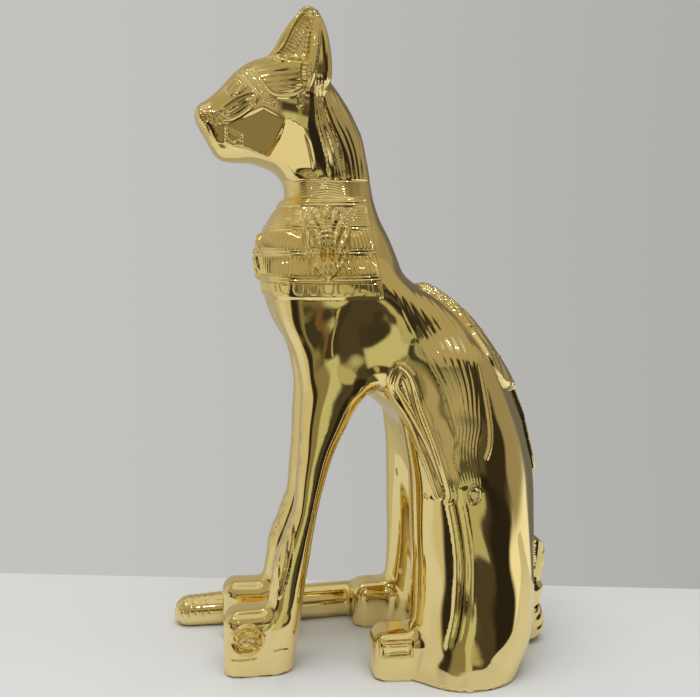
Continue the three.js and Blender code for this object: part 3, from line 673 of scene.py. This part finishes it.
@carved((3, -64.5, 212), (24, -26, 232.5), 0.65)
def muzzle_carving(side, y, z):
    level_cheek = 15.4 + 0.404 * (y + 42) + 0.21 * (z - 222) - side
    flat = 0.95 * level_cheek * step(-0.6, 0.9, depth_inside(y, z, cheek))
    (foot_y, foot_z), (top_y, top_z) = flutes_foot, flutes_top
    front = (z - foot_z) / (top_z - foot_z) * (top_y - foot_y) + foot_y
    fluted = step(0, 0.8, front - y) * step(216.5, 218, z) * (1 - step(230, 231, z)) * (0.15 + 0.14 * comb(z, 0.95))
    inner = depth_inside(y, z, mouth_pad)
    _, along = stroke(y, z, mouth_pad)
    beads = 0.3 * ridge(inner - 0.7, 0.7) * comb(along, 1.35)
    off, _ = stroke(y, z, mouth_slot)
    return flat + fluted + 0.5 * step(0, 2.2, inner) + beads - 0.8 * ridge(off, 0.9)


# The neck: behind a shallow hollow at its side, folds fan down from behind the ears to a line round the
# neck, and fine contour lines lie between that line and the collar.
neck_line = 203.5
fold_lines = [
    curve((256, -16), (244, -18.3), (230, -19.3), (223.8, -19.6), (216, -17.5), (206.8, -15.4), (203.5, -14.8)),
    curve((256, -14.2), (244, -13.6), (233.6, -11.4), (226.4, -8.2), (221, -5), (213.5, -2), (203.5, -0.4)),
    curve((256, -10.5), (247, -9.5), (240, -6.5), (230, -1), (220, 3), (210, 5), (203.5, 5.5)),
]
ear_seam = bowed([(-24, 237), (-24, 232.5), (-22.8, 231.4), (-21.6, 232.5), (-21.6, 237)], pieces=4)


@carved((5, -42, 203.3), (26, -17, 232), 1.0)
def neck_hollow(side, y, z):
    level_neck = 19.4 + 0.249 * (y + 28) + 0.502 * (z - 222) - side
    worn = 1 - step(-0.6, 0.9, depth_inside(y, z, cheek))
    worn *= step(-40, -35, y + 0.25 * (z - 220)) * (1 - step(-2.6, 0, y - fold_lines[0](z)[0]))
    return 0.9 * np.minimum(level_neck, 0) * worn * step(neck_line + 1, neck_line + 5, z)


@carved((4, -24, 203.3), (30, 7, 258), 0.8)
def neck_folds(side, y, z):
    front, middle, back = (line(z)[0] for line in fold_lines)
    share = np.where(y < middle, (y - front) / (middle - front), 1 + (y - middle) / (back - middle))
    worn = step(-0.04, 0.04, share) * (1 - step(1.95, 2.1, share)) * (1 - step(250, 257, z))
    worn *= step(neck_line, neck_line + 1.2, z)
    band = -0.95 * np.minimum(share / 0.28, 1) * (1 - step(0.28, 0.35, share))
    tooth = (share - 0.35) / 0.44 * 2 % 1
    teeth = 0.2 - 0.8 * np.minimum(tooth / 0.7, (1 - tooth) / 0.3)
    teeth = teeth * step(0.28, 0.38, share) * (1 - step(0.76, 0.84, share)) * (1 - step(236, 246, z))
    behind = 0.2 * comb(share, 0.3) * step(0.8, 0.9, share) * (1 - step(238, 250, z))
    spread = np.clip((middle - front) / 14, 0.25, 1.1)
    off, _ = stroke(y, z, ear_seam)
    return worn * spread * (band + teeth + behind) + 0.35 * ridge(off, 0.6)


@carved((0, -34, 195.5), (30, 14, 204.6), 0.5)
def neck_lines(side, y, z):
    worn = step(196.2, 197, z) * (1 - step(neck_line - 0.9, neck_line - 0.3, z)) * (1 - step(7, 10, y))
    lines = worn * (0.1 * comb(z + 0.025 * (y + 12) ** 2, 1.0) - 0.15)
    return lines - 0.3 * ridge(z - neck_line, 0.7) * (y < 12)


# The broad collar: bands, rows of tube beads and a fringe of drops, with a medallion on the chest and
# a winged ornament over each shoulder, held by a strap behind.
collar_top, collar_foot = 196, 156.5
collar_bands = [(192.3, 195.1), (183, 185.2), (173.2, 175.6), (162.5, 165.3)]
upper_beads, lower_beads = 100, 104  # in one row round the neck
strap_at = curve((157, 9.5), (190, 5.5))
medallion_z = 172.5
ornament_y = -13
ornament_half = curve((193, 3), (190.5, 5.5), (186, 9), (182, 9.3), (176, 8.5), (170, 6.5), (166, 3.5), (163.5, 0.3))


@carved((0, -44, 153.5), (36, 12.5, 197.5), 0.5)
def collar_carving(side, y, z):
    front, back, half = trunk_at(z)
    round_it = np.arctan2(side / half, -(y - (front + back) / 2) / ((back - front) / 2))
    strap = strap_at(z)[0]
    worn = step(collar_foot - 0.8, collar_foot + 0.8, z) * (1 - step(collar_top - 0.5, collar_top + 0.5, z))
    worn *= step(0, 1, strap - y)
    height = np.full(len(y), 0.55)
    for low, high in collar_bands:
        inner = np.minimum(z - low, high - z)
        height = np.maximum(height, 0.55 + 0.6 * step(-0.15, 0.45, inner) - 0.22 * ridge(z - (low + high) / 2, 0.5))
        height -= 0.45 * ridge(np.minimum(np.abs(z - low), np.abs(z - high)), 0.5)
    beads = 0.5 - 0.5 * np.cos(round_it * upper_beads)
    height += 0.42 * beads * step(175.7, 176.2, z) * (1 - step(182.3, 182.8, z))
    beads = 0.5 - 0.5 * np.cos(round_it * lower_beads)
    height += 0.5 * beads * step(165.5, 166, z) * (1 - step(172.5, 173, z))
    across = (np.abs(y + 6) + 1.4) % 5.6 - 2.8
    across = np.where(y > -30, across, (round_it * 30 + 1.4) % 5.8 - 2.9)
    drop = np.maximum(np.abs(across) - 1.9, np.where(z < 160, np.hypot(across, z - 160) - 1.9, -9))
    height += 0.3 * ridge(drop, 0.45) * step(157.6, 158, z) * (1 - step(162, 162.4, z))
    rough = np.sin(y * 4.1 + z * 1.7) * np.sin(z * 5.3 - y * 2.3) * np.sin(side * 3.7 + z)
    height += 0.14 * rough * step(185.4, 186, z) * (1 - step(191.6, 192.2, z))
    edge = ridge(strap - 1.4 - y, 1.5)
    height = np.maximum(height, 1.25 * edge)
    return height * worn


@carved((12, -25, 160.5), (36, -1, 194.5), 0.42)
def shoulder_ornament(side, y, z):
    half = ornament_half(z)[0]
    across = y - ornament_y
    inner = np.minimum(half - np.abs(across), np.minimum(z - 163.5, 192.5 - z))
    body = step(-0.3, 1.3, inner)
    wing = step(2.6, 3.4, np.abs(across) + 0.14 * (z - 178))
    feathers = comb(np.abs(across) * 0.9 - (z - 172) * 0.42, 3.4) * wing * step(165, 168, z)
    grains = 0.5 * comb(np.hypot(across, z - 176), 1.9) * (1 - wing) * step(178.5, 180, z)
    slots = ridge(np.hypot((np.abs(across) - 1.5) * 1.7, (z - 173) * 0.5), 2.2)
    head_knob = ridge(np.hypot(across, (z - 188.5) * 0.8), 3.4)
    rim = ridge(inner - 0.7, 0.7)
    return body * (1.15 + 0.5 * rim + 0.6 * feathers + 0.32 * grains + 0.9 * head_knob - 2.0 * slots
                   + 0.9 * (1 - wing))


@carved((0, -48, 161), (10, -30, 184), 0.5)
def medallion(side, y, z):
    off = oval(side, z - medallion_z, 7.5, 9.5, 2)
    star = 0.5 + 0.5 * np.cos(8 * np.arctan2(side, z - medallion_z))
    worn = step(0.6, -0.9, off)
    return worn * (1.1 + 0.4 * ridge(off + 1.5, 0.8) + 0.3 * star * step(-2.2, -3.4, off) + 0.4 * step(-6, -7, off))


@carved((0, -40, 116), (12, -17, 157.5), 0.75)
def chest_hatching(side, y, z):
    worn = step(118, 123, z) * (1 - step(153, 156.5, z)) * (1 - step(6, 11, side)) * (y < -16)
    return -worn * 0.16 * (ridge(comb(side + 0.45 * z, 3.4), 0.3) + ridge(comb(side - 0.45 * z, 3.4), 0.3))


# The flanks: a hollow in the shoulder, metal left faintly uneven by hand, long shallow ripples that run
# down from the shoulder, and nested loops and lines along the thigh from the arch to the hind foot.
ripple_edges = curve(  # how far back their front and back edges lie
    (164, 7, 24), (161, 12, 30), (150, 17, 40), (140, 22, 47), (130, 27, 48.5), (120, 32, 49), (110, 34.5, 48),
    (100, 35.5, 46.5), (90, 35.5, 45.5), (82, 37, 46),
)
ripple_count = 8
thigh_loop = bowed([
    (30, 78), (25.5, 92), (20.5, 105), (15.5, 114), (12.3, 121), (15.5, 129.3), (21, 125), (24.5, 113), (27.5, 104),
    (31, 92), (34, 80), (33.5, 76),
], pieces=3)
rear_seam = bowed([(47, 137), (49.2, 127), (50.7, 115), (51.4, 104), (50.6, 97), (48.8, 93)], pieces=3)
thigh_line = bowed([(32.6, 78.7), (35.1, 63.9), (36.4, 48.9), (35.2, 29.1), (32.3, 15.6)], pieces=4)


@carved((14, -14, 113), (60, 23, 163), 3.3)
def shoulder_hollow(side, y, z):
    return -2.4 * np.maximum(1 - ((y - 4) / 17) ** 2 - ((z - 138) / 24) ** 2, 0) ** 2


@carved((14, 4, 80), (60, 53, 166), 0.74)
def flank_ripples(side, y, z):
    front, back = ripple_edges(z)
    share = (y - front) / (back - front) + 0.06 * np.sin(z / 3.6) * (1 - step(100, 114, z))
    worn = step(-0.05, 0.06, share) * (1 - step(0.94, 1.06, share)) * step(81, 86, z) * (1 - step(156, 164, z))
    worn *= step(14.5, 21, side)
    depth = 0.08 + 0.06 * step(118, 140, z)
    return depth * worn * (0.5 - 0.5 * np.cos(2 * math.pi * ripple_count * share))


@carved((18, 20, 3), (60, 76, 120), 3.3)
def haunch_unevenness(side, y, z):
    worn = step(20, 30, y) * (1 - step(60, 70, y)) * step(3, 12, z) * (1 - step(100, 118, z))
    return 0.22 * worn * np.sin(z / 5.2 + 1.3 * np.sin(y / 7)) * np.sin(y / 5.4 + z / 31)


@carved((12, -38, 70), (60, 24, 155), 3.3)
def shoulder_unevenness(side, y, z):
    worn = step(-38, -28, y) * (1 - step(10, 22, y)) * step(72, 95, z) * (1 - step(146, 154, z))
    worn *= step(12.5, 18, side)
    return 0.16 * worn * np.sin(z / 4.1 + 1.5 * np.sin(y / 5)) * np.sin(y / 4.6 - z / 17)


@carved((18, 8, 72), (60, 56, 134), 1.0)
def thigh_carving(side, y, z):
    off, _ = stroke(y, z, thigh_loop)
    inner = depth_inside(y, z, thigh_loop)
    lines = 0.75 * ridge(off, 1.9) + 0.45 * ridge(inner - 3.6, 1.6)
    crease = 82 - 2 * step(37, 53, y)
    above = 0.45 * step(crease - 1.4, crease + 1.6, z) * step(33, 39, y) * (1 - step(42, 55, y))
    above *= 1 - step(crease + 6, crease + 26, z)
    loops = 0.4 * ridge(np.hypot(y - 43, (z - 79.3) * 0.7) - 2.2, 0.8)
    off, _ = stroke(y, z, rear_seam)
    seam = 0.45 * ridge(off, 1.3) * (1 - step(128, 134, z))
    return lines * (1 - step(131, 133, z)) * step(74, 77, z) + above + loops + seam


@carved((25, 24, 12), (60, 46, 82), 1.0)
def shank_lines(side, y, z):
    off, _ = stroke(y, z, thigh_line)
    signed = y - np.interp(z, thigh_line[::-1, 1], thigh_line[::-1, 0])
    worn = step(15, 24, z) * (1 - step(74, 79, z))
    return worn * (0.5 * ridge(off, 1.5) + 0.22 * ridge(signed - 3.2, 1.3) + 0.14 * ridge(signed - 6, 1.3))


# The forelegs and paws: a leaf down the front of each foreleg, a curled toe on the outside of the paw
# and a groove round its sole, cut by hand into the model before casting.
toe_tail = bowed([(-40.6, 18.6), (-37.6, 20), (-35.5, 22.6)])
sole_groove = [(-52.3, 8.2), (-47.5, 8), (-42.8, 8.4)]
heel_groove = [(-35, 11.2), (-32.4, 11.9), (-29.7, 11.6)]
leaf_outline = bowed([
    (-33, 33), (-34.6, 42), (-33.6, 52), (-30.6, 62), (-28.2, 70), (-27, 62), (-28.2, 50), (-30.4, 40),
], closed=True, pieces=3)


@carved((20, -54.5, 3), (30, -28, 27), 0.6)
def toe_carving(side, y, z):
    off = oval(y + 46.3, z - 16, 6.5, 5.9, 2)
    ring = 1.1 * ridge(off, 1.2) - 1.1 * ridge(off + 2, 1.3) - 0.4 * step(0, -2.5, off)
    veins = 0
    for rise in (0.9, 0.1, -0.7):
        way, _ = stroke(y, z, [(-50, 15.4), (-46, 15.4 + 2.6 * rise + 1.2), (-41.5, 15.4 + 3.2 * rise - 0.4)])
        veins = np.maximum(veins, 0.8 * ridge(way, 0.8))
    way, _ = stroke(y, z, toe_tail)
    groove, _ = stroke(y, z, sole_groove)
    heel, _ = stroke(y, z, heel_groove)
    toe = ring + veins * step(0, -1.2, off) + 0.5 * ridge(way, 0.9)
    return toe - 0.4 * ridge(groove, 0.7) - 0.3 * ridge(heel, 0.6)


@carved((12, -42, 28), (30, -23, 106), 0.95)
def leaf_carving(side, y, z):
    inner = depth_inside(y, z, leaf_outline)
    leaf = 0.45 * step(-0.2, 0.9, inner) + 0.4 * ridge(inner, 0.9)
    veins = 0.3 * comb(inner, 1.7) * step(0.8, 1.4, inner)
    front = foreleg_at(z)[1]
    slot = oval(y - front - 2.2, z - 95.5, 1.3, 7.5, 2)
    return leaf + veins + 0.5 * ridge(slot, 0.8) - 0.4 * step(0.2, -0.8, slot)


@carved((33, 4, 5), (44, 23, 21), 0.7)
def hind_toe_frame(side, y, z):
    frame_off = np.maximum(np.abs(y - 13.8) - 6.2, np.abs(z - 13.6) - 3)
    return 0.8 * ridge(frame_off, 1.1) - 0.9 * step(0, -1.5, frame_off)


# Reliefs down the back: a feathered crest between the shoulders, a ladder of beads along the spine
# and a looped plate at the rump, cast in one with the body and left a little rougher.
crest_share = curve(
    (112, 0), (117, 0.62), (124, 0.96), (131, 1), (136, 0.8), (141, 0.64), (149, 0.5), (156, 0.36), (161, 0.26),
)
crest_half = 25
fan_middle = 160  # the level that the crest's feathers spread from


@carved((0, 25, 110), (27, 88, 163), 0.75)
def back_crest(side, y, z):
    half = crest_share(z)[0] * crest_half
    ends = step(112.5, 115.5, z) * (1 - step(158, 161, z))
    thin = 1 - 0.6 * step(0.4, 1, side / np.maximum(half, 3))
    body = 3 * thin * step(0, 2.6, half - side) * ends
    fan = np.hypot(side, z - fan_middle)
    feathers = comb(np.arctan2(side, fan_middle - z) * 24, 2 * math.pi / 1.6) * step(5, 9, fan)
    rows = ridge(np.abs((fan - 22) % 11 - 5.5) - 5.5, 0.9) * step(10, 14, fan)
    pits = np.sin(side * 2.6) * np.sin(z * 2.9) * (1 - step(14, 20, fan))
    return body + (0.32 * feathers + 0.3 * rows + 0.25 * pits) * step(0.3, 1.8, half - side) * ends


@carved((0, 60, 72), (8, 90, 118), 0.7)
def spine_band(side, y, z):
    ends = step(76, 79, z) * (1 - step(113, 116, z))
    band = 2.6 * step(0, 1.8, 5.5 - side) * ends
    beads = ridge(np.hypot(side * 1.1, (z - 76) % 5.4 - 2.7) - 1.5, 0.9)
    return band + ends * (0.45 * beads + 0.35 * ridge(side - 4.2, 0.8)) * step(0, 1, 5.3 - side)


@carved((0, 68, 2), (11, 95, 50), 0.75)
def rump_plate(side, y, z):
    half = 8.5 - 2.2 * step(24, 30, z)
    inner = np.clip(np.minimum(half - side, np.minimum(z - 3, 47 - z)) / 5, 0, 1)
    body = 7 * np.sqrt(1 - (1 - inner) ** 2)
    loop = 0.7 * ridge(np.hypot(side, z - 37) - 4, 1.6)
    rows = 0.35 * comb(z + 0.4 * side, 3.1) * step(0.05, 0.5, inner) * (1 - step(26, 29, z))
    notch = 1.2 * ridge(z - 28, 2.4)
    return body + (loop + rows - notch) * step(0, 0.4, inner)


@carved((28, -78, 1), (45, -56, 20), 1.0)
def tail_tip_grooves(side, y, z):
    return -0.25 * ridge(comb(y + 0.3 * z, 3.2), 0.35) * step(-58, -63, y)


def relief(x, y, z):
    # All the carving together; it fades out just above the sole
    side, total = np.abs(x), np.zeros(len(x))
    place = np.stack((side, y, z), axis=1)
    for low, high, _, height in carvings:
        near = ((place > low) & (place < high)).all(1)
        if near.any():
            total[near] += height(side[near], y[near], z[near])
    return total * step(0.5, 2, z)


plain_edge = 3.3  # the longest edge of the plain skin
level_edge = 1.5  # the longest inside a carving's box, where the carving rises by less than level_rise
level_rise = 0.015


def too_long(points, a, b, middle):
    place = np.stack((np.abs(middle[:, 0]), middle[:, 1], middle[:, 2]), axis=1)
    longest = np.full(len(a), plain_edge)
    for low, high, edge, _ in carvings:
        near = ((place > low) & (place < high)).all(1)
        longest[near] = np.minimum(longest[near], edge)
    height, between = relief(*points.T), relief(*middle.T)
    rise = np.maximum(np.abs(height[a] - height[b]), np.abs(between - height[a]))
    longest = np.where(rise < level_rise, np.maximum(longest, level_edge), longest)
    return np.linalg.norm(points[a] - points[b], axis=1) > longest


# The gilding: a thin, mirror-bright coat of gold plate over the polished casting, hardly worn, with the
# faint unevenness of the plating bath in its tint, its gloss and its surface.
gilding = bpy.data.materials.new("gold_plate")
gilding.use_nodes = True
gilding_nodes = gilding.node_tree.nodes
gilding_links = gilding.node_tree.links
gold = gilding_nodes["Principled BSDF"]
gold.inputs["Metallic"].default_value = 1.0

wear = bpy.data.node_groups.new("plating_wear", "ShaderNodeTree")
sockets = [("Smallest", "Float", "INPUT"), ("Largest", "Float", "INPUT"), ("Tint", "Color", "OUTPUT"),
           ("Roughness", "Float", "OUTPUT"), ("Height", "Float", "OUTPUT")]
for name, kind, way in sockets:
    wear.interface.new_socket(name=name, in_out=way, socket_type="NodeSocket" + kind)
inside = linked(wear.nodes, wear.links, "NodeGroupInput")
outside = linked(wear.nodes, wear.links, "NodeGroupOutput")
spot = linked(wear.nodes, wear.links, "ShaderNodeTexCoord").outputs["Object"]
clouds = linked(wear.nodes, wear.links, "ShaderNodeTexNoise", {"Vector": spot, "Scale": 34.0, "Detail": 4.0})
fine = linked(wear.nodes, wear.links, "ShaderNodeTexNoise", {"Vector": spot, "Scale": 900.0, "Detail": 2.0})
swell = linked(wear.nodes, wear.links, "ShaderNodeTexNoise", {"Vector": spot, "Scale": 90.0, "Detail": 1.0})
limits = {"Value": clouds.outputs["Fac"], "From Min": 0.3, "From Max": 0.75,
          "To Min": inside.outputs["Smallest"], "To Max": inside.outputs["Largest"]}
dulled = linked(wear.nodes, wear.links, "ShaderNodeMapRange", limits)
tinted = linked(
    wear.nodes, wear.links, "ShaderNodeMix",
    {"Factor": clouds.outputs["Fac"], "A": (0.93, 0.765, 0.36, 1), "B": (0.89, 0.72, 0.32, 1)},
    data_type="RGBA",
)
bumps = linked(
    wear.nodes, wear.links, "ShaderNodeMath",
    {0: swell.outputs["Fac"], 1: 6.0, 2: fine.outputs["Fac"]}, operation="MULTIPLY_ADD",
)
wear.links.new(tinted.outputs["Result"], outside.inputs["Tint"])
wear.links.new(dulled.outputs[0], outside.inputs["Roughness"])
wear.links.new(bumps.outputs[0], outside.inputs["Height"])

plating = gilding_nodes.new("ShaderNodeGroup")
plating.node_tree = wear
plating.inputs["Smallest"].default_value = 0.035
plating.inputs["Largest"].default_value = 0.085
uneven = linked(
    gilding_nodes, gilding_links, "ShaderNodeBump",
    {"Height": plating.outputs["Height"], "Strength": 0.35, "Distance": 0.00001},
)
gilding_links.new(plating.outputs["Tint"], gold.inputs["Base Color"])
gilding_links.new(plating.outputs["Roughness"], gold.inputs["Roughness"])
gilding_links.new(uneven.outputs["Normal"], gold.inputs["Normal"])

# The casting shows as three closed pieces, cut level at the line round the neck and at the foot of the
# collar. Where two of them meet their rims match, so no joint shows.
centre = np.array((-0.506, 5.4, 0))  # the middle of the base, on the drawing
collar_line = 155.2
body_cell, head_cell = 2.0, 1.0


def skin_of(low, high, cell):
    points, faces = cast_skin(low, high, cell)
    points = relaxed(onto_figure(points, 2), faces, 3)
    points, faces = refined(points, faces, too_long)
    return onto_figure(points, 2), faces


def finished(name, skin_points, faces, foot=None, top=None):
    # Cuts the skin off level below the foot and above the top, closes it, and carves and gilds it
    mesh = bpy.data.meshes.new(name)
    mesh.from_pydata(skin_points.tolist(), [], faces.tolist())
    skin = bmesh.new()
    skin.from_mesh(mesh)
    for level, upwards in ((foot, -1), (top, 1)):
        if level is None:
            continue
        everything = skin.verts[:] + skin.edges[:] + skin.faces[:]
        bmesh.ops.bisect_plane(
            skin, geom=everything, dist=1e-4, plane_co=(0, 0, level), plane_no=(0, 0, upwards), clear_outer=True,
        )
        rim = [e for e in skin.edges if e.is_boundary]
        cap = bmesh.ops.contextual_create(skin, geom=rim)["faces"]
        bmesh.ops.poke(skin, faces=cap, center_mode="MEAN")
    bmesh.ops.recalc_face_normals(skin, faces=skin.faces[:])
    skin.to_mesh(mesh)
    skin.free()
    points = np.empty(3 * len(mesh.vertices), np.float64)
    mesh.vertices.foreach_get("co", points)
    points = points.reshape(-1, 3)
    outward = slope(figure, points, figure(*points.T))
    outward /= np.linalg.norm(outward, axis=1)[:, None]
    height = relief(*points.T)
    rise = slope(relief, points, height, reach=0.03)
    rise -= (rise * outward).sum(1)[:, None] * outward
    points = points + outward * height[:, None]
    facing = outward - rise
    facing /= np.linalg.norm(facing, axis=1)[:, None]
    mesh.vertices.foreach_set("co", ((points - centre) / 1000).astype(np.float32).ravel())
    mesh.polygons.foreach_set("use_smooth", np.ones(len(mesh.polygons), bool))
    mesh.normals_split_custom_set_from_vertices(facing.astype(np.float32))
    mesh.update()
    mesh.materials.append(gilding)
    piece = bpy.data.objects.new(name, mesh)
    bpy.context.scene.collection.objects.link(piece)
    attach(piece, "root")
    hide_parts("bastet_cat")


lower_skin = skin_of((-62, -84, -3), (62, 94, 210), body_cell)
finished("cat_body", *lower_skin, top=collar_line)
finished("cat_collar", *lower_skin, foot=collar_line, top=neck_line)
finished("cat_head", *skin_of((-32, -70, 196), (32, 16, 276), head_cell), foot=neck_line)
